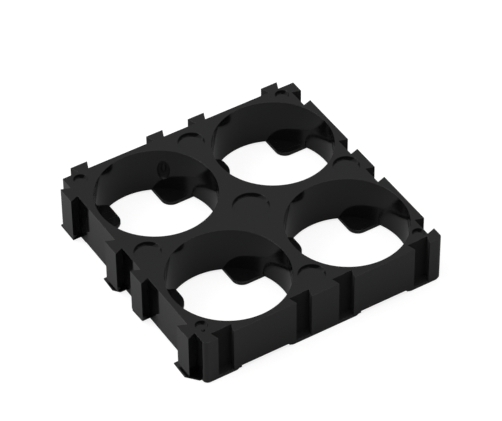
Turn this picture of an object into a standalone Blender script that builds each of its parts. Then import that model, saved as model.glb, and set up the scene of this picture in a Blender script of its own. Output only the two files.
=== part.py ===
"""Holder bracket for four cylindrical battery cells, two by two, moulded in one piece.

Metres, +Z up. The origin is on the plane that the feet stand on, midway between the four cell axes.
The cells go in from above and rest on the stops. Rows of dovetail tongues on the -X and +Y sides slide
into the matching grooves on the +X and -Y sides of the next bracket, so that brackets tile at one pitch.
"""
import math

import bmesh
import bpy
from mathutils import Matrix, Vector

MM = 0.001

# Cells, in a square pattern
CELL_DIAMETER = 18.0 * MM
CELL_CLEARANCE = 0.45 * MM
WALL_BETWEEN_CELLS = 1.8 * MM

# Body, which is narrower than two pitches and lies a little to -X of the cells
HEIGHT = 8.3 * MM
GAP_BETWEEN_BRACKETS = 0.2 * MM
BODY_SHIFT = 0.08 * MM

# Underside: square feet between channels for the welding strip, whose corners stop the cells
STRIP_WIDTH = 8.0 * MM
STRIP_CLEARANCE = 0.05 * MM
STRIP_CHANNEL_DEPTH = 0.35 * MM
STOP_THICKNESS = 0.65 * MM
STOP_CORNER_RADIUS = 1.65 * MM
WIDE_STOP_CORNER_RADIUS = 2.6 * MM
FOOT_EDGE_RADIUS = 0.8 * MM
FOOT_INSET = 0.08 * MM
LONG_STOP_REACH = 0.7 * MM
MOUTH_HEIGHT = 0.7 * MM
MOUTH_LENGTH = 0.6 * MM

# Dovetails: the +Y tongues fit the grooves loosely and the -X tongues closely
TONGUE_FROM_FOOT_MIDDLE = 3.625 * MM
TONGUE_TIP_WIDTH = 2.85 * MM
TONGUE_ROOT_WIDTH = 1.7 * MM
TONGUE_DEPTH = 1.4 * MM
CLEARANCE_AT_TIP = 0.28 * MM
CLEARANCE_AT_ROOT = 0.42 * MM
CLEARANCE_UNDER_TONGUE = 0.05 * MM
CLOSE_TONGUE_WIDER = 0.28 * MM

# Webs of flash under the -X tongues: for each tongue from -Y to +Y, corners as distance out of the
# side and distance along it from the middle of the tongue
FLASH_BOTTOM = 0.04 * MM
FLASH_TOP = 0.28 * MM
FLASH_ROOT = 0.4 * MM
FLASH_CORNERS = (
    ((1.68 * MM, 2.45 * MM), (1.75 * MM, -0.65 * MM), (0.25 * MM, -2.4 * MM)),
    ((1.25 * MM, 1.85 * MM), (1.15 * MM, -0.85 * MM)),
    ((1.55 * MM, 2.4 * MM), (1.65 * MM, -0.3 * MM), (0.85 * MM, -1.3 * MM)),
    ((1.25 * MM, 2.65 * MM), (1.25 * MM, -1.1 * MM)))

# Ejector recesses in the top face: the column and row of the foot below, the offset from its middle
# and the diameter
RECESS_DEPTH = 0.45 * MM
CENTRE_RECESS_DIAMETER = 5.5 * MM
EDGE_RECESS_DIAMETER = 4.05 * MM
CORNER_RECESS_DIAMETER = 1.8 * MM
WIDE_CORNER_RECESS_DIAMETER = 2.1 * MM
RECESSES = (
    (0, 0, 0.2 * MM, 0.4 * MM, CENTRE_RECESS_DIAMETER),
    (0, 1, 0.0 * MM, -3.25 * MM, EDGE_RECESS_DIAMETER),
    (0, -1, 0.0 * MM, 3.9 * MM, EDGE_RECESS_DIAMETER),
    (-1, 0, 2.8 * MM, 0.2 * MM, EDGE_RECESS_DIAMETER),
    (1, 0, -3.55 * MM, 0.2 * MM, EDGE_RECESS_DIAMETER),
    (-1, 1, 2.2 * MM, -1.55 * MM, WIDE_CORNER_RECESS_DIAMETER),
    (1, 1, -3.15 * MM, -1.55 * MM, WIDE_CORNER_RECESS_DIAMETER),
    (-1, -1, 1.6 * MM, 3.6 * MM, CORNER_RECESS_DIAMETER),
    (1, -1, -2.6 * MM, 2.85 * MM, CORNER_RECESS_DIAMETER))

# Gate mark: an oval dimple with the broken-off stub in it, on the wall of the -X +Y cell hole
GATE_ANGLE = math.radians(53.3)
GATE_BELOW_TOP = 3.95 * MM
GATE_WIDTH = 1.9 * MM
GATE_HEIGHT = 3.6 * MM
GATE_DEPTH = 0.45 * MM
STUB_WIDTH = 0.8 * MM
STUB_HEIGHT = 1.7 * MM
STUB_STANDS = 0.3 * MM

# Roundness and the length by which a cutter passes the wall
BORE_SEGMENTS = 96
RECESS_SEGMENTS = 40
CORNER_SEGMENTS = 8
PAST = 1.0 * MM

BORE_DIAMETER = CELL_DIAMETER + CELL_CLEARANCE
PITCH = BORE_DIAMETER + WALL_BETWEEN_CELLS
BODY_HALF = PITCH - GAP_BETWEEN_BRACKETS / 2
BODY_LOW = Vector((-BODY_HALF - BODY_SHIFT, -BODY_HALF))
BODY_HIGH = Vector((BODY_HALF - BODY_SHIFT, BODY_HALF))
STRIP_CHANNEL_WIDTH = STRIP_WIDTH + STRIP_CLEARANCE
FOOT_HALF = (PITCH - STRIP_CHANNEL_WIDTH) / 2
TONGUE_BOTTOM = STOP_THICKNESS + CLEARANCE_UNDER_TONGUE
CELL_AXES = [(x * PITCH / 2, y * PITCH / 2) for x in (-1, 1) for y in (-1, 1)]
GATE_CELL = (-PITCH / 2, PITCH / 2)
SIDE_PLACES = (TONGUE_FROM_FOOT_MIDDLE - PITCH, -TONGUE_FROM_FOOT_MIDDLE,
               TONGUE_FROM_FOOT_MIDDLE, PITCH - TONGUE_FROM_FOOT_MIDDLE)


def clear_scene():
    for old in list(bpy.data.objects):
        bpy.data.objects.remove(old)


def black_plastic():
    material = bpy.data.materials.new("black_abs")
    material.use_nodes = True
    shader = material.node_tree.nodes["Principled BSDF"]
    shader.inputs["Base Color"].default_value = (0.02, 0.02, 0.021, 1.0)
    shader.inputs["Roughness"].default_value = 0.3
    shader.inputs["Metallic"].default_value = 0.0
    return material


def arc(centre, radius, start, end, segments):
    """Points from the start angle to the end angle, both kept."""
    angles = [start + (end - start) * step / max(segments, 1) for step in range(segments + 1)]
    return [Vector((centre[0] + radius * math.cos(a), centre[1] + radius * math.sin(a))) for a in angles]


def rectangle(x_low, x_high, y_low, y_high):
    return [(x_low, y_low), (x_high, y_low), (x_high, y_high), (x_low, y_high)]


def rounded_outline(corners, radii):
    """A counter-clockwise rectangle with an arc of its own at each corner, sharp where its radius is 0."""
    middle = sum((Vector(corner) for corner in corners), Vector((0.0, 0.0))) / 4
    points = []
    for turn, (corner, radius) in enumerate(zip(corners, radii)):
        inner = [at - math.copysign(radius, at - centre) for at, centre in zip(corner, middle)]
        start = math.radians(90 * turn + 180)
        points += arc(inner, radius, start, start + math.pi / 2, CORNER_SEGMENTS if radius > 0.0 else 0)
    return points


def dovetail(place, narrow, wide, depth):
    """Four points along a side, as distance along it and distance out of it."""
    return [(place - narrow / 2, 0.0), (place - wide / 2, depth),
            (place + wide / 2, depth), (place + narrow / 2, 0.0)]


def groove_side():
    """Grooves as deep as the tongues: the gap between two brackets' sides is the clearance at the tip."""
    narrow = TONGUE_ROOT_WIDTH + 2 * CLEARANCE_AT_ROOT
    wide = TONGUE_TIP_WIDTH + 2 * CLEARANCE_AT_TIP
    return [point for place in SIDE_PLACES for point in dovetail(place, narrow, wide, -TONGUE_DEPTH)]


def tongue_side(wider):
    """Tongues widened on the side that comes first along the outline."""
    root, tip = TONGUE_ROOT_WIDTH + wider, TONGUE_TIP_WIDTH + wider
    return [point for place in SIDE_PLACES
            for point in dovetail(place - wider / 2, root, tip, TONGUE_DEPTH)]


def body_outline():
    """The plan of the body, counter-clockwise from the -X -Y corner."""
    sides = (groove_side(), groove_side(), tongue_side(0.0), tongue_side(CLOSE_TONGUE_WIDER))
    points = []
    for turn, side in enumerate(sides):
        local = [Vector((-BODY_HALF, -BODY_HALF))]
        local += [Vector((along, -BODY_HALF - out)) for along, out in side]
        turned = Matrix.Rotation(turn * math.pi / 2, 2)
        points += [turned @ point - Vector((BODY_SHIFT, 0.0)) for point in local]
    return points


def new_object(name, mesh):
    made = bpy.data.objects.new(name, mesh)
    bpy.context.collection.objects.link(made)
    return made


def prisms(name, outlines, low, high):
    """One object with an upright prism for each outline."""
    bm = bmesh.new()
    for outline in outlines:
        base = bm.faces.new([bm.verts.new((x, y, low)) for x, y in outline])
        top = bmesh.ops.extrude_face_region(bm, geom=[base])["geom"]
        corners = [part for part in top if isinstance(part, bmesh.types.BMVert)]
        bmesh.ops.translate(bm, vec=(0.0, 0.0, high - low), verts=corners)
    bmesh.ops.recalc_face_normals(bm, faces=bm.faces)
    mesh = bpy.data.meshes.new(name)
    bm.to_mesh(mesh)
    bm.free()
    mesh.shade_smooth()
    mesh.set_sharp_from_angle(angle=math.radians(25))
    return new_object(name, mesh)


def circle(place, diameter, segments):
    return arc(place, diameter / 2, 0.0, 2 * math.pi, segments)[:-1]


def ellipsoid(name, centre, turn, sizes):
    """A ball stretched to its three sizes: out from the cell axis, across and upright."""
    bm = bmesh.new()
    bmesh.ops.create_uvsphere(bm, u_segments=24, v_segments=16, radius=0.5)
    bmesh.ops.transform(bm, matrix=Matrix.Diagonal((*sizes, 1.0)), verts=bm.verts)
    bmesh.ops.transform(bm, matrix=Matrix.Rotation(turn, 4, "Z"), verts=bm.verts)
    bmesh.ops.translate(bm, vec=centre, verts=bm.verts)
    mesh = bpy.data.meshes.new(name)
    bm.to_mesh(mesh)
    bm.free()
    mesh.shade_smooth()
    return new_object(name, mesh)


def combine(target, tool, operation):
    """Joins the tool to the target or cuts it out, and leaves it as a hidden guide."""
    step = target.modifiers.new(f"{operation.lower()} {tool.name}", "BOOLEAN")
    step.operation = operation
    step.object = tool
    step.solver = "EXACT"
    tool.hide_render = True
    tool.display_type = "WIRE"


def under_tongues():
    """The space below the tongues of the -X and +Y sides, which the floor of a groove takes."""
    out = TONGUE_DEPTH + PAST
    corner = (BODY_LOW.x - out, BODY_HIGH.y + out)
    outline = [(corner[0], BODY_LOW.y - PAST), (BODY_LOW.x, BODY_LOW.y - PAST), (BODY_LOW.x, BODY_HIGH.y),
               (BODY_HIGH.x + PAST, BODY_HIGH.y), (BODY_HIGH.x + PAST, corner[1]), corner]
    return prisms("under_tongues", [outline], -PAST, TONGUE_BOTTOM)


def channel_mouths():
    """The higher mouths of the strip channels in the -Y and +Y walls."""
    outlines = []
    for cell_x in (-PITCH / 2, PITCH / 2):
        x_low, x_high = cell_x - STRIP_CHANNEL_WIDTH / 2, cell_x + STRIP_CHANNEL_WIDTH / 2
        outlines.append(rectangle(x_low, x_high, BODY_LOW.y - PAST, BODY_LOW.y + MOUTH_LENGTH))
        outlines.append(rectangle(x_low, x_high, BODY_HIGH.y - MOUTH_LENGTH, BODY_HIGH.y + PAST))
    return prisms("channel_mouths", outlines, -PAST, MOUTH_HEIGHT)


def foot_corner_radius(x, y, wide):
    """Corners that stop a cell are round, those on the -Y and +Y sides less so, the others sharp."""
    if abs(y) > PITCH:
        return FOOT_EDGE_RADIUS
    if abs(x) > PITCH:
        return 0.0
    return WIDE_STOP_CORNER_RADIUS if wide else STOP_CORNER_RADIUS


def foot(column, row):
    """The square foot between four cells, cut off at the sides.

    Its +X -Y corner is the rounder one, but for the foot between the tongue sides, which has a long
    stop there.
    """
    has_long_stop = (column, row) == (-1, 1)
    reach = LONG_STOP_REACH if has_long_stop else 0.0
    square = rectangle(column * PITCH - FOOT_HALF, column * PITCH + FOOT_HALF + reach,
                       row * PITCH - FOOT_HALF, row * PITCH + FOOT_HALF)
    radii = [foot_corner_radius(x, y, turn == 1 and not has_long_stop)
             for turn, (x, y) in enumerate(square)]
    low = BODY_LOW + Vector((FOOT_INSET, FOOT_INSET))
    high = BODY_HIGH - Vector((FOOT_INSET, FOOT_INSET))
    corners = [(min(max(x, low.x), high.x), min(max(y, low.y), high.y)) for x, y in square]
    return rounded_outline(corners, radii)


def feet():
    outlines = [foot(column, row) for column in (-1, 0, 1) for row in (-1, 0, 1)]
    return prisms("feet", outlines, 0.0, STOP_THICKNESS)


def flash_webs():
    outlines = []
    for place, corners in zip(SIDE_PLACES, FLASH_CORNERS):
        spread = [(BODY_LOW.x - out, place + along) for out, along in corners]
        inside = BODY_LOW.x + FOOT_INSET + FLASH_ROOT
        outlines.append([(inside, spread[0][1])] + spread + [(inside, spread[-1][1])])
    return prisms("flash_webs", outlines, FLASH_BOTTOM, FLASH_TOP)


def recesses():
    outlines = [circle((column * PITCH + x, row * PITCH + y), diameter, RECESS_SEGMENTS)
                for column, row, x, y, diameter in RECESSES]
    return prisms("recesses", outlines, HEIGHT - RECESS_DEPTH, HEIGHT + PAST)


def gate_point(beyond_wall):
    """A point at the middle of the gate mark, beyond the wall of the bore by the given depth."""
    radius = BORE_DIAMETER / 2 + beyond_wall
    return Vector((GATE_CELL[0] + radius * math.cos(GATE_ANGLE),
                   GATE_CELL[1] + radius * math.sin(GATE_ANGLE), HEIGHT - GATE_BELOW_TOP))


def gate_dimple():
    return ellipsoid("gate_dimple", gate_point(0.0), GATE_ANGLE, (2 * GATE_DEPTH, GATE_WIDTH, GATE_HEIGHT))


def gate_stub():
    sizes = (2 * STUB_STANDS, STUB_WIDTH, STUB_HEIGHT)
    return ellipsoid("gate_stub", gate_point(GATE_DEPTH), GATE_ANGLE, sizes)


def cell_holder():
    holder = prisms("cell_holder", [body_outline()], STRIP_CHANNEL_DEPTH, HEIGHT)
    holder.data.materials.append(black_plastic())
    bore_outlines = [circle(axis, BORE_DIAMETER, BORE_SEGMENTS) for axis in CELL_AXES]
    combine(holder, prisms("bores", bore_outlines, -PAST, HEIGHT + PAST), "DIFFERENCE")
    combine(holder, under_tongues(), "DIFFERENCE")
    combine(holder, channel_mouths(), "DIFFERENCE")
    combine(holder, feet(), "UNION")
    combine(holder, flash_webs(), "UNION")
    combine(holder, recesses(), "DIFFERENCE")
    combine(holder, gate_dimple(), "DIFFERENCE")
    combine(holder, gate_stub(), "UNION")
    return holder


clear_scene()
cell_holder()
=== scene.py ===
import math

import bpy
from mathutils import Matrix, Vector


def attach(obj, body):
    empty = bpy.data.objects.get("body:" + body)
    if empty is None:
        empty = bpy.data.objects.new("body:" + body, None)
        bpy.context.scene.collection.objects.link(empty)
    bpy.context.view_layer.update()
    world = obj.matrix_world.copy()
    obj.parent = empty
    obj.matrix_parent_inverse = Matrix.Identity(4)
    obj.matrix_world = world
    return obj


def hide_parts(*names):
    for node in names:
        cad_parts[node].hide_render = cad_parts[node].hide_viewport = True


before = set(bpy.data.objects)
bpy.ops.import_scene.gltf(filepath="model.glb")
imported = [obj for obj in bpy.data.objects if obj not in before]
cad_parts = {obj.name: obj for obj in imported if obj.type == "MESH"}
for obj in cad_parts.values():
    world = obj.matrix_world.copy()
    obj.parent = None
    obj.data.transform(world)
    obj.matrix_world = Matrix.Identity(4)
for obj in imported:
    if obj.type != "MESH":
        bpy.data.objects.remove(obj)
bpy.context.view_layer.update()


# The body of the bracket: one square moulding in black ABS, with a bore for each of its four cells.
# Dovetail tongues stand on its -X and +Y sides, and the grooves that take the next bracket's tongues
# are sunk in the other two. The mould left its edges slightly round.

MM = 0.001
PAST = 1.0 * MM
PITCH = 20.25 * MM
BORE_RADIUS, BORE_SIDES = 9.225 * MM, 160
WALL_BOTTOM, TOP = 0.35 * MM, 8.3 * MM
WEST, EAST = -20.23 * MM, 20.07 * MM
SOUTH, NORTH = -20.15 * MM, 20.15 * MM
FRONT_CORNER_ROUNDING = 0.7 * MM
EDGE_ROUNDING = 0.14 * MM
HAIR = 0.01 * MM

DOVETAIL_PLACES = (-16.625 * MM, -3.625 * MM, 3.625 * MM, 16.625 * MM)
DOVETAIL_DEPTH = 1.4 * MM
TONGUE_BOTTOM = 0.7 * MM
TONGUE_IN_WALL = 0.5 * MM
NORTH_TONGUE_WIDTHS = (1.7 * MM, 2.85 * MM)
WEST_TONGUE_WIDTHS = (1.98 * MM, 3.13 * MM)
GROOVE_WIDTHS = (2.54 * MM, 3.41 * MM)
NORTH_AND_SOUTH_SHIFT = -0.08 * MM
WEST_SHIFT = 0.14 * MM

STRIP_CHANNEL_HALF = 4.025 * MM
MOUTH_LENGTH, MOUTH_TOP = 0.6 * MM, 0.7 * MM


def pick(piece):
    """Makes a piece the only one selected."""
    bpy.ops.object.select_all(action="DESELECT")
    piece.select_set(True)
    bpy.context.view_layer.objects.active = piece


def block(name, corner, opposite):
    """A block between two opposite corners."""
    low, high = (Vector([end(pair) for pair in zip(corner, opposite)]) for end in (min, max))
    bpy.ops.object.select_all(action="DESELECT")
    bpy.ops.mesh.primitive_cube_add(size=1.0, location=(low + high) / 2)
    made = bpy.context.active_object
    made.name = name
    made.scale = high - low
    bpy.ops.object.transform_apply(location=True, rotation=True, scale=True)
    return made


def dovetail(name, axis, wall, way, place, widths, reach, heights):
    """A bar that runs along X (axis 0) or Y (axis 1), and widens on its way from a wall.

    It has the first of its widths where it crosses the wall, and the second a dovetail's depth further.
    Its reach says how far from the wall it starts and ends.
    """
    start, end = ((widths[0] + (widths[1] - widths[0]) * far / DOVETAIL_DEPTH) / 2 for far in reach)
    corner, opposite = [0.0, 0.0, heights[0]], [0.0, 0.0, heights[1]]
    corner[axis], opposite[axis] = wall + way * reach[0], wall + way * reach[1]
    corner[1 - axis], opposite[1 - axis] = place - start, place + start
    bar = block(name, corner, opposite)
    bpy.ops.object.mode_set(mode="EDIT")
    bpy.ops.mesh.select_mode(type="FACE")
    bpy.ops.mesh.select_all(action="DESELECT")
    bpy.ops.object.mode_set(mode="OBJECT")
    for face in bar.data.polygons:
        face.select = abs(face.center[axis] - opposite[axis]) < HAIR
    widening = [1.0, 1.0, 1.0]
    widening[1 - axis] = end / start
    bpy.ops.object.mode_set(mode="EDIT")
    bpy.ops.transform.resize(value=widening, center_override=(Vector(corner) + Vector(opposite)) / 2)
    bpy.ops.object.mode_set(mode="OBJECT")
    return bar


def gathered(name, pieces):
    """Pieces that stand clear of each other, joined as one."""
    pick(pieces[0])
    for piece in pieces[1:]:
        piece.select_set(True)
    bpy.ops.object.join()
    pieces[0].name = name
    return pieces[0]


def combine(body, operation, tool):
    """Adds the tool to the body or cuts it out of it, and does away with the tool."""
    pick(body)
    step = body.modifiers.new(tool.name, "BOOLEAN")
    step.operation = operation
    step.object = tool
    step.solver = "MANIFOLD"
    bpy.ops.object.modifier_apply(modifier=step.name)
    bpy.data.objects.remove(tool)


def round_upright_edges(piece, wanted, radius, steps):
    """Rounds the upright edges that stand where wanted says."""
    pick(piece)
    bpy.ops.object.mode_set(mode="EDIT")
    bpy.ops.mesh.select_mode(type="EDGE")
    bpy.ops.mesh.select_all(action="DESELECT")
    bpy.ops.object.mode_set(mode="OBJECT")
    for edge in piece.data.edges:
        start, end = (piece.data.vertices[index].co for index in edge.vertices)
        upright = abs(start.z - end.z) > HAIR and (start.xy - end.xy).length < HAIR
        edge.select = upright and wanted(start)
    bpy.ops.object.mode_set(mode="EDIT")
    bpy.ops.mesh.bevel(offset=radius, segments=steps)
    bpy.ops.object.mode_set(mode="OBJECT")


def round_edges(piece, width, steps):
    """Rounds every edge that is sharper than 40 degrees."""
    pick(piece)
    step = piece.modifiers.new("round edges", "BEVEL")
    step.width = width
    step.segments = steps
    step.limit_method = "ANGLE"
    step.angle_limit = math.radians(40)
    step.miter_outer = "MITER_ARC"
    bpy.ops.object.modifier_apply(modifier=step.name)


holder = block("holder", (WEST, SOUTH, WALL_BOTTOM), (EAST, NORTH, TOP))
round_upright_edges(holder, lambda at: at.y < 0, FRONT_CORNER_ROUNDING, steps=6)

tongues, grooves = [], []
from_wall, through_wall = (-TONGUE_IN_WALL, DOVETAIL_DEPTH), (-PAST, DOVETAIL_DEPTH)
tall, right_through = (TONGUE_BOTTOM, TOP), (-PAST, TOP + PAST)
for place in DOVETAIL_PLACES:
    north, west = place + NORTH_AND_SOUTH_SHIFT, place + WEST_SHIFT
    tongues.append(dovetail("tongue", 1, NORTH, 1, north, NORTH_TONGUE_WIDTHS, from_wall, tall))
    tongues.append(dovetail("tongue", 0, WEST, -1, west, WEST_TONGUE_WIDTHS, from_wall, tall))
    grooves.append(dovetail("groove", 1, SOUTH, 1, north, GROOVE_WIDTHS, through_wall, right_through))
    grooves.append(dovetail("groove", 0, EAST, -1, place, GROOVE_WIDTHS, through_wall, right_through))
combine(holder, "UNION", gathered("tongues", tongues))
combine(holder, "DIFFERENCE", gathered("grooves", grooves))

bores = []
for x in (-PITCH / 2, PITCH / 2):
    for y in (-PITCH / 2, PITCH / 2):
        bpy.ops.object.select_all(action="DESELECT")
        bpy.ops.mesh.primitive_cylinder_add(
            vertices=BORE_SIDES, radius=BORE_RADIUS, depth=TOP + 2 * PAST, location=(x, y, TOP / 2))
        bpy.ops.object.transform_apply(location=True, rotation=True, scale=True)
        bores.append(bpy.context.active_object)
combine(holder, "DIFFERENCE", gathered("bores", bores))
round_edges(holder, EDGE_ROUNDING, steps=3)

mouths = []
for x in (-PITCH / 2, PITCH / 2):
    for wall, way in ((SOUTH, 1), (NORTH, -1)):
        outer = (x - STRIP_CHANNEL_HALF, wall - way * PAST, -PAST)
        inner = (x + STRIP_CHANNEL_HALF, wall + way * MOUTH_LENGTH, MOUTH_TOP)
        mouths.append(block("mouth", outer, inner))
combine(holder, "DIFFERENCE", gathered("mouths", mouths))


# The feet: nine square plates, moulded on under the places where the walls meet. Welded strip runs
# in the channels between them. Their round corners reach under the bores, and the cells stand there.

FOOT_HALF = 6.1 * MM
FOOT_TOP = 0.65 * MM
FOOT_INSET = 0.08 * MM
FOOT_EDGE_ROUNDING = 0.1 * MM
OUTER_CORNER_ROUNDING = 0.8 * MM
STOP_ROUNDING = 1.65 * MM
WIDE_STOP_ROUNDING = 2.6 * MM
LONG_STOP_REACH = 0.7 * MM


def foot(column, row):
    """The foot at a column and row from -1 to 1, cut off at the sides of the bracket."""
    has_long_stop = (column, row) == (-1, 1)
    x, y = column * PITCH, row * PITCH
    low = Vector((max(x - FOOT_HALF, WEST + FOOT_INSET), max(y - FOOT_HALF, SOUTH + FOOT_INSET), 0.0))
    high = Vector((x + FOOT_HALF + (LONG_STOP_REACH if has_long_stop else 0.0), y + FOOT_HALF, FOOT_TOP))
    high.x, high.y = min(high.x, EAST - FOOT_INSET), min(high.y, NORTH - FOOT_INSET)
    plate = block("foot", low, high)
    if row > -1 and column < 1 and not has_long_stop:
        round_upright_edges(plate, lambda at: at.x > x and at.y < y, WIDE_STOP_ROUNDING, steps=10)

    def stops_a_cell(at):
        inside = abs(at.x) < PITCH - PAST and abs(at.y) < PITCH - PAST
        corners = (low.xy, high.xy, Vector((low.x, high.y)), Vector((high.x, low.y)))
        return inside and min((at.xy - corner).length for corner in corners) < HAIR

    round_upright_edges(plate, stops_a_cell, STOP_ROUNDING, steps=8)
    round_upright_edges(plate, lambda at: abs(at.y) > PITCH - PAST, OUTER_CORNER_ROUNDING, steps=5)
    round_edges(plate, FOOT_EDGE_ROUNDING, steps=2)
    return plate


feet = [foot(column, row) for column in (-1, 0, 1) for row in (-1, 0, 1)]
combine(holder, "UNION", gathered("feet", feet))


# Flash: thin webs of plastic that crept out of the mould under the -X tongues and broke off
# roughly. Each corner is given in millimetres, out of the side and along it from its tongue.

FLASH_BOTTOM, FLASH_THICKNESS = 0.04 * MM, 0.24 * MM
FLASH_EDGE_ROUNDING = 0.05 * MM
FLASH_ROOT = 0.48
FLASH_CORNERS = (
    ((1.68, 2.45), (1.75, -0.65), (0.25, -2.4)),
    ((1.25, 1.85), (1.15, -0.85)),
    ((1.55, 2.4), (1.65, -0.3), (0.85, -1.3)),
    ((1.25, 2.65), (1.25, -1.1)))

webs = []
for place, corners in zip(DOVETAIL_PLACES, FLASH_CORNERS):
    outline = [(-FLASH_ROOT, corners[0][1]), *corners, (-FLASH_ROOT, corners[-1][1])]
    bpy.ops.object.select_all(action="DESELECT")
    bpy.ops.mesh.primitive_circle_add(vertices=len(outline), radius=MM, fill_type="NGON")
    web = bpy.context.active_object
    for vertex, (out, along) in zip(web.data.vertices, outline):
        vertex.co = (WEST - out * MM, place + along * MM, FLASH_BOTTOM)
    bpy.ops.object.mode_set(mode="EDIT")
    bpy.ops.mesh.select_all(action="SELECT")
    bpy.ops.mesh.extrude_region_move(TRANSFORM_OT_translate={"value": (0.0, 0.0, FLASH_THICKNESS)})
    bpy.ops.mesh.select_all(action="SELECT")
    bpy.ops.mesh.normals_make_consistent(inside=False)
    bpy.ops.object.mode_set(mode="OBJECT")
    round_edges(web, FLASH_EDGE_ROUNDING, steps=2)
    webs.append(web)
combine(holder, "UNION", gathered("webs", webs))


# Ejector marks: round recesses that the mould's pins left in the top, a large one in the middle, one
# at the middle of each side and a small one in each corner, given in millimetres by their place and
# radius. Beside one corner mark is a small pit.

EJECTOR_MARKS = (
    (0.2, 0.4, 2.75), (0.0, 17.0, 2.025), (0.0, -16.35, 2.025), (-17.45, 0.2, 2.025), (16.7, 0.2, 2.025),
    (-18.05, 18.7, 1.05), (17.1, 18.7, 1.05), (-18.65, -16.65, 0.9), (17.65, -17.4, 0.9))
MARK_RIM = ((0.0, 0.45), (0.0, 0.05), (0.01, 0.02), (0.03, 0.0), (0.1, -1.0))
PIT_X, PIT_Y = -18.96, -17.72
PIT_PROFILE = ((0.2, 0.7), (0.24, 0.08), (0.28, 0.0), (0.3, -1.0))


def pin(x, y, profile, sides):
    """A round pin in the top, drawn up from its lowest disc through its profile's radii and depths."""
    radius, depth = profile[0]
    middle = Vector((x, y, TOP / MM - depth)) * MM
    bpy.ops.object.select_all(action="DESELECT")
    bpy.ops.mesh.primitive_circle_add(
        vertices=sides, radius=radius * MM, fill_type="NGON", location=middle)
    made = bpy.context.active_object
    bpy.ops.object.transform_apply(location=True, rotation=True, scale=True)
    bpy.ops.object.mode_set(mode="EDIT")
    bpy.ops.mesh.select_all(action="SELECT")
    for wider, higher in profile[1:]:
        lift = {"value": (0.0, 0.0, (depth - higher) * MM)}
        bpy.ops.mesh.extrude_region_move(TRANSFORM_OT_translate=lift)
        bpy.ops.transform.resize(value=(wider / radius, wider / radius, 1.0), center_override=middle)
        radius, depth = wider, higher
    bpy.ops.mesh.select_all(action="SELECT")
    bpy.ops.mesh.normals_make_consistent(inside=False)
    bpy.ops.object.mode_set(mode="OBJECT")
    return made


pins = []
for x, y, radius in EJECTOR_MARKS:
    pins.append(pin(x, y, [(radius + wider, depth) for wider, depth in MARK_RIM], sides=72))
combine(holder, "DIFFERENCE", gathered("pins", pins))
combine(holder, "DIFFERENCE", pin(PIT_X, PIT_Y, PIT_PROFILE, sides=24))


# Gate mark: the oval dimple in the wall of the -X +Y bore where the plastic was let in, with the torn
# stub of the sprue standing in it. Then the whole moulding gets smooth curves and even flats.

GATE_TURN = math.radians(53.3)
GATE_OUT = Vector((math.cos(GATE_TURN), math.sin(GATE_TURN), 0.0))
GATE_BELOW_TOP = 3.95 * MM
GATE = Vector((-PITCH / 2, PITCH / 2, TOP - GATE_BELOW_TOP)) + GATE_OUT * BORE_RADIUS
DIMPLE_SIZE = Vector((0.9, 1.9, 3.6)) * MM
STUB_SIZE = Vector((0.6, 0.8, 1.7)) * MM
STUB = GATE + GATE_OUT * 0.45 * MM + Vector((0.0, 0.0, 0.09 * MM))
MERGED_BELOW = 0.002 * MM
SMOOTH_BELOW = math.radians(32)


def oval(name, middle, size):
    """A ball drawn to a size out from the cell, across and upright."""
    bpy.ops.object.select_all(action="DESELECT")
    bpy.ops.mesh.primitive_uv_sphere_add(
        segments=40, ring_count=24, radius=0.5, location=middle, rotation=(0.0, 0.0, GATE_TURN))
    made = bpy.context.active_object
    made.name = name
    made.scale = size
    bpy.ops.object.transform_apply(location=True, rotation=True, scale=True)
    return made


combine(holder, "DIFFERENCE", oval("dimple", GATE, DIMPLE_SIZE))
combine(holder, "UNION", oval("stub", STUB, STUB_SIZE))

pick(holder)
bpy.ops.object.mode_set(mode="EDIT")
bpy.ops.mesh.select_mode(type="VERT")
bpy.ops.mesh.select_all(action="SELECT")
bpy.ops.mesh.remove_doubles(threshold=MERGED_BELOW)
bpy.ops.mesh.dissolve_degenerate(threshold=MERGED_BELOW)
bpy.ops.object.mode_set(mode="OBJECT")
bpy.ops.object.shade_smooth_by_angle(angle=SMOOTH_BELOW)
flats = holder.modifiers.new("even flats", "WEIGHTED_NORMAL")
flats.keep_sharp = True
bpy.ops.object.modifier_apply(modifier=flats.name)


# The plastic: black ABS with the gloss of a polished mould, a little duller on the feet, and matt in the
# grooves, where its colour is painted deeper black as shade. Shrinking left it faintly wavy, handling
# scuffed it, and the gate is torn and deep black.

BLACK = (0.0029, 0.0029, 0.003, 1.0)
PALER_BLACK = (0.004, 0.004, 0.0041, 1.0)
# Deep black: painted shade in the grooves, and the colour of the torn gate.
GROOVE_SHADE_AND_TORN_BLACK = (0.0005, 0.0005, 0.0005, 1.0)
GLOSS_IOR = 1.54

FOOT_ZONE = 0.68 * MM
GROOVE_ZONE_HALF = 1.8 * MM
GROOVE_ZONE_IN, GROOVE_ZONE_REACH = 0.8 * MM, 0.64 * MM
GROOVE_ZONE_TOP = TOP - 0.1 * MM
TORN_PER_DIMPLE = 0.52

WAVES_TO_METRE, GRAINS_TO_METRE, SCUFFS_TO_METRE = 90.0, 5200.0, 420.0
SCUFF_STRETCH, SCUFFED_ABOVE = (1.0, 5.0, 2.0), 0.66
POLISH, DULLER_ON_WAVES, DULLER_ON_GRAIN, DULLER_ON_SCUFFS = 0.03, 0.08, 0.05, 0.1
DULLER_ON_FEET, DULLER_IN_GROOVES, DULLER_WHERE_TORN = 0.12, 0.9, 0.45
WAVE_RELIEF, GRAIN_RELIEF = 0.9, 0.01
RELIEF_STRENGTH, RELIEF_DEPTH = 0.3, 0.2 * MM


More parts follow.
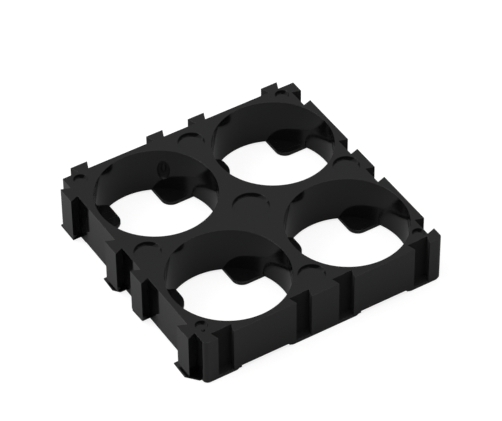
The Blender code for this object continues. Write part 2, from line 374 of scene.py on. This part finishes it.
class Value:
    """A value in a material, which takes part in Python's sums."""

    def __init__(self, socket):
        self.socket = socket

    def node(self, kind, settings, inputs, output=0):
        """A new node of the same material: its settings come first, then its inputs."""
        tree = self.socket.id_data
        made = tree.nodes.new(kind)
        for name, setting in settings.items():
            setattr(made, name, setting)
        for name, value in inputs.items():
            if isinstance(value, Value):
                tree.links.new(value.socket, made.inputs[name])
            else:
                made.inputs[name].default_value = value
        return Value(made.outputs[output])

    def maths(self, operation, first, second):
        return self.node("ShaderNodeMath", {"operation": operation}, {0: first, 1: second})

    def __add__(self, other):
        return self.maths("ADD", self, other)

    def __radd__(self, other):
        return self.maths("ADD", other, self)

    def __mul__(self, other):
        return self.maths("MULTIPLY", self, other)

    def __rmul__(self, other):
        return self.maths("MULTIPLY", other, self)

    def __lt__(self, other):
        return self.maths("LESS_THAN", self, other)

    def __gt__(self, other):
        return self.maths("GREATER_THAN", self, other)

    def folded(self, width):
        """Back and forth between 0 and a width."""
        return self.maths("PINGPONG", self, width)

    def near(self, value, reach):
        """1 within a reach of a value, and 0 further off."""
        return self.node("ShaderNodeMath", {"operation": "COMPARE"}, {0: self, 1: value, 2: reach})

    def ramp(self, start, end, before, after):
        """From one value before the start of a range to another after its end."""
        return self.node("ShaderNodeMapRange", {}, {
            "Value": self, "From Min": start, "From Max": end, "To Min": before, "To Max": after})

    def noise(self, scale, detail, stretch=(1.0, 1.0, 1.0)):
        """Noise at this place, with so many bumps to the metre."""
        stretched = self.node("ShaderNodeMapping", {}, {"Vector": self, "Scale": stretch})
        return self.node(
            "ShaderNodeTexNoise", {}, {"Vector": stretched, "Scale": scale, "Detail": detail})

    def mix(self, first, second):
        """The first colour where this value is 0, and the second where it is 1."""
        colours = {"Factor": self, 6: first, 7: second}
        return self.node("ShaderNodeMix", {"data_type": "RGBA"}, colours, 2)

    def feed(self, socket):
        self.socket.id_data.links.new(self.socket, socket)


plastic = bpy.data.materials.new("black_abs_moulding")
plastic.use_nodes = True
shader = plastic.node_tree.nodes["Principled BSDF"]
shader.inputs["IOR"].default_value = GLOSS_IOR
place = Value(plastic.node_tree.nodes.new("ShaderNodeTexCoord").outputs["Object"])

x, y, z = (place.node("ShaderNodeSeparateXYZ", {}, {0: place}, output) for output in range(3))


def in_grooves_of_side(along, across, middle):
    """1 inside the grooves of a side that runs along one axis, and 0 elsewhere.

    Along a side, its grooves lie alike to both sides of each whole pitch. Across it, their middles lie
    at the given place.
    """
    in_width = along.folded(PITCH / 2).near(DOVETAIL_PLACES[2], GROOVE_ZONE_HALF)
    return in_width * across.near(middle, GROOVE_ZONE_REACH)


in_south_grooves = in_grooves_of_side(x, y, SOUTH + GROOVE_ZONE_IN)
in_east_grooves = in_grooves_of_side(y, x, EAST - GROOVE_ZONE_IN)
in_grooves = (in_south_grooves + in_east_grooves) * (z < GROOVE_ZONE_TOP)
on_feet = z < FOOT_ZONE
round_gate = place.node("ShaderNodeMapping", {"vector_type": "TEXTURE"}, {
    "Vector": place, "Location": GATE, "Rotation": (0.0, 0.0, GATE_TURN),
    "Scale": DIMPLE_SIZE * TORN_PER_DIMPLE})
torn = place.node("ShaderNodeVectorMath", {"operation": "LENGTH"}, {0: round_gate}, "Value") < 1.0

waves = place.noise(WAVES_TO_METRE, detail=2.0)
grain = place.noise(GRAINS_TO_METRE, detail=3.0)
scuffs = place.noise(SCUFFS_TO_METRE, detail=5.0, stretch=SCUFF_STRETCH) > SCUFFED_ABOVE
roughness = POLISH + DULLER_ON_WAVES * waves + DULLER_ON_GRAIN * grain + DULLER_ON_SCUFFS * scuffs
roughness = roughness + DULLER_ON_FEET * on_feet + DULLER_IN_GROOVES * in_grooves
roughness = roughness + DULLER_WHERE_TORN * torn
roughness.feed(shader.inputs["Roughness"])
# The grooves are painted deep black as shade, and the torn gate gets the same deep black.
(torn + in_grooves).mix(waves.mix(BLACK, PALER_BLACK), GROOVE_SHADE_AND_TORN_BLACK).feed(shader.inputs["Base Color"])
relief = WAVE_RELIEF * waves + GRAIN_RELIEF * grain
bump = place.node("ShaderNodeBump", {}, {
    "Height": relief, "Strength": RELIEF_STRENGTH, "Distance": RELIEF_DEPTH})
bump.feed(shader.inputs["Normal"])

holder.data.materials.clear()
holder.data.materials.append(plastic)
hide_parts("cell_holder")
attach(holder, "root")


# The table: pale card, a hair's breadth under the feet. The camera sees it white, and the object's
# shadow stays on it.

TABLE_SIZE = 6.0
UNDER_FEET = 0.02 * MM
CARD = (0.33, 0.33, 0.33, 1.0)
ADDED_WHITE = 0.8

bpy.ops.object.select_all(action="DESELECT")
bpy.ops.mesh.primitive_plane_add(size=TABLE_SIZE, location=(0.0, 0.0, -UNDER_FEET))
bpy.ops.object.transform_apply(location=True, rotation=True, scale=True)
table = bpy.context.active_object
table.name = "table"
card = bpy.data.materials.new("pale_card")
card.use_nodes = True
surface = card.node_tree.nodes["Principled BSDF"]
surface.inputs["Base Color"].default_value = CARD
surface.inputs["Roughness"].default_value = 0.9
surface.inputs["Specular IOR Level"].default_value = 0.0
camera_ray = Value(card.node_tree.nodes.new("ShaderNodeLightPath").outputs["Is Camera Ray"])
glow = camera_ray.node("ShaderNodeEmission", {}, {"Strength": ADDED_WHITE * camera_ray})
lit = camera_ray.node("ShaderNodeAddShader", {}, {0: Value(surface.outputs[0]), 1: glow})
lit.feed(card.node_tree.nodes["Material Output"].inputs["Surface"])
table.data.materials.append(card)


# The light: a soft lamp at the back left and a weaker one overhead, in a plain room with pale walls
# and a darker ceiling. Behind the table the camera sees white.

WHITE = (1.0, 1.0, 1.0, 1.0)
LAMPS = (
    ("main_lamp", (-0.51, 0.33, 0.62), 0.75, 4.7),
    ("fill_lamp", (0.1, -0.2, 0.85), 0.8, 3.5))
WALLS, CEILING = 0.4, 0.08
CEILING_FROM, CEILING_TO = 0.72, 0.95

for name, location, size, power in LAMPS:
    light = bpy.data.lights.new(name, "AREA")
    light.shape = "SQUARE"
    light.size = size
    light.energy = power
    lamp = bpy.data.objects.new(name, light)
    bpy.context.scene.collection.objects.link(lamp)
    lamp.location = location
    lamp.rotation_euler = lamp.location.to_track_quat("Z", "Y").to_euler()

room = bpy.data.worlds.new("room")
bpy.context.scene.world = room
room.use_nodes = True
air = room.node_tree.nodes["Background"]
air.inputs["Color"].default_value = WHITE
direction = Value(room.node_tree.nodes.new("ShaderNodeTexCoord").outputs["Generated"])
upward = direction.node("ShaderNodeSeparateXYZ", {}, {0: direction}, 2)
upward.ramp(CEILING_FROM, CEILING_TO, WALLS, CEILING).feed(air.inputs["Strength"])
camera_ray = Value(room.node_tree.nodes.new("ShaderNodeLightPath").outputs["Is Camera Ray"])
white = camera_ray.node("ShaderNodeBackground", {}, {"Strength": 1.0, "Color": WHITE})
seen = camera_ray.node("ShaderNodeMixShader", {}, {0: camera_ray, 1: Value(air.outputs[0]), 2: white})
seen.feed(room.node_tree.nodes["World Output"].inputs["Surface"])
bpy.context.scene.view_settings.view_transform = "Standard"


# The camera: half a metre off, above the -X -Y corner, with a long lens. It aims at the top of the
# bracket, close to its middle, and is tilted by a hair.

TURN, RISE, TILT = math.radians(-31.470), math.radians(43.411), math.radians(-0.625)
AIM = Vector((-0.372 * MM, -0.528 * MM, TOP))
DISTANCE = 464.49 * MM
LENS, SENSOR_WIDTH = 228.36, 36.0

back = Vector((math.sin(TURN) * math.cos(RISE), -math.cos(TURN) * math.cos(RISE), math.sin(RISE)))
level = Vector((math.cos(TURN), math.sin(TURN), 0.0))
over = back.cross(level)
across = math.cos(TILT) * level + math.sin(TILT) * over
along = math.cos(TILT) * over - math.sin(TILT) * level
lens = bpy.data.cameras.new("camera")
lens.lens = LENS
lens.sensor_width = SENSOR_WIDTH
camera = bpy.data.objects.new("camera", lens)
bpy.context.scene.collection.objects.link(camera)
turned = Matrix((across, along, back)).transposed().to_4x4()
camera.matrix_world = Matrix.Translation(AIM + back * DISTANCE) @ turned
bpy.context.scene.camera = camera
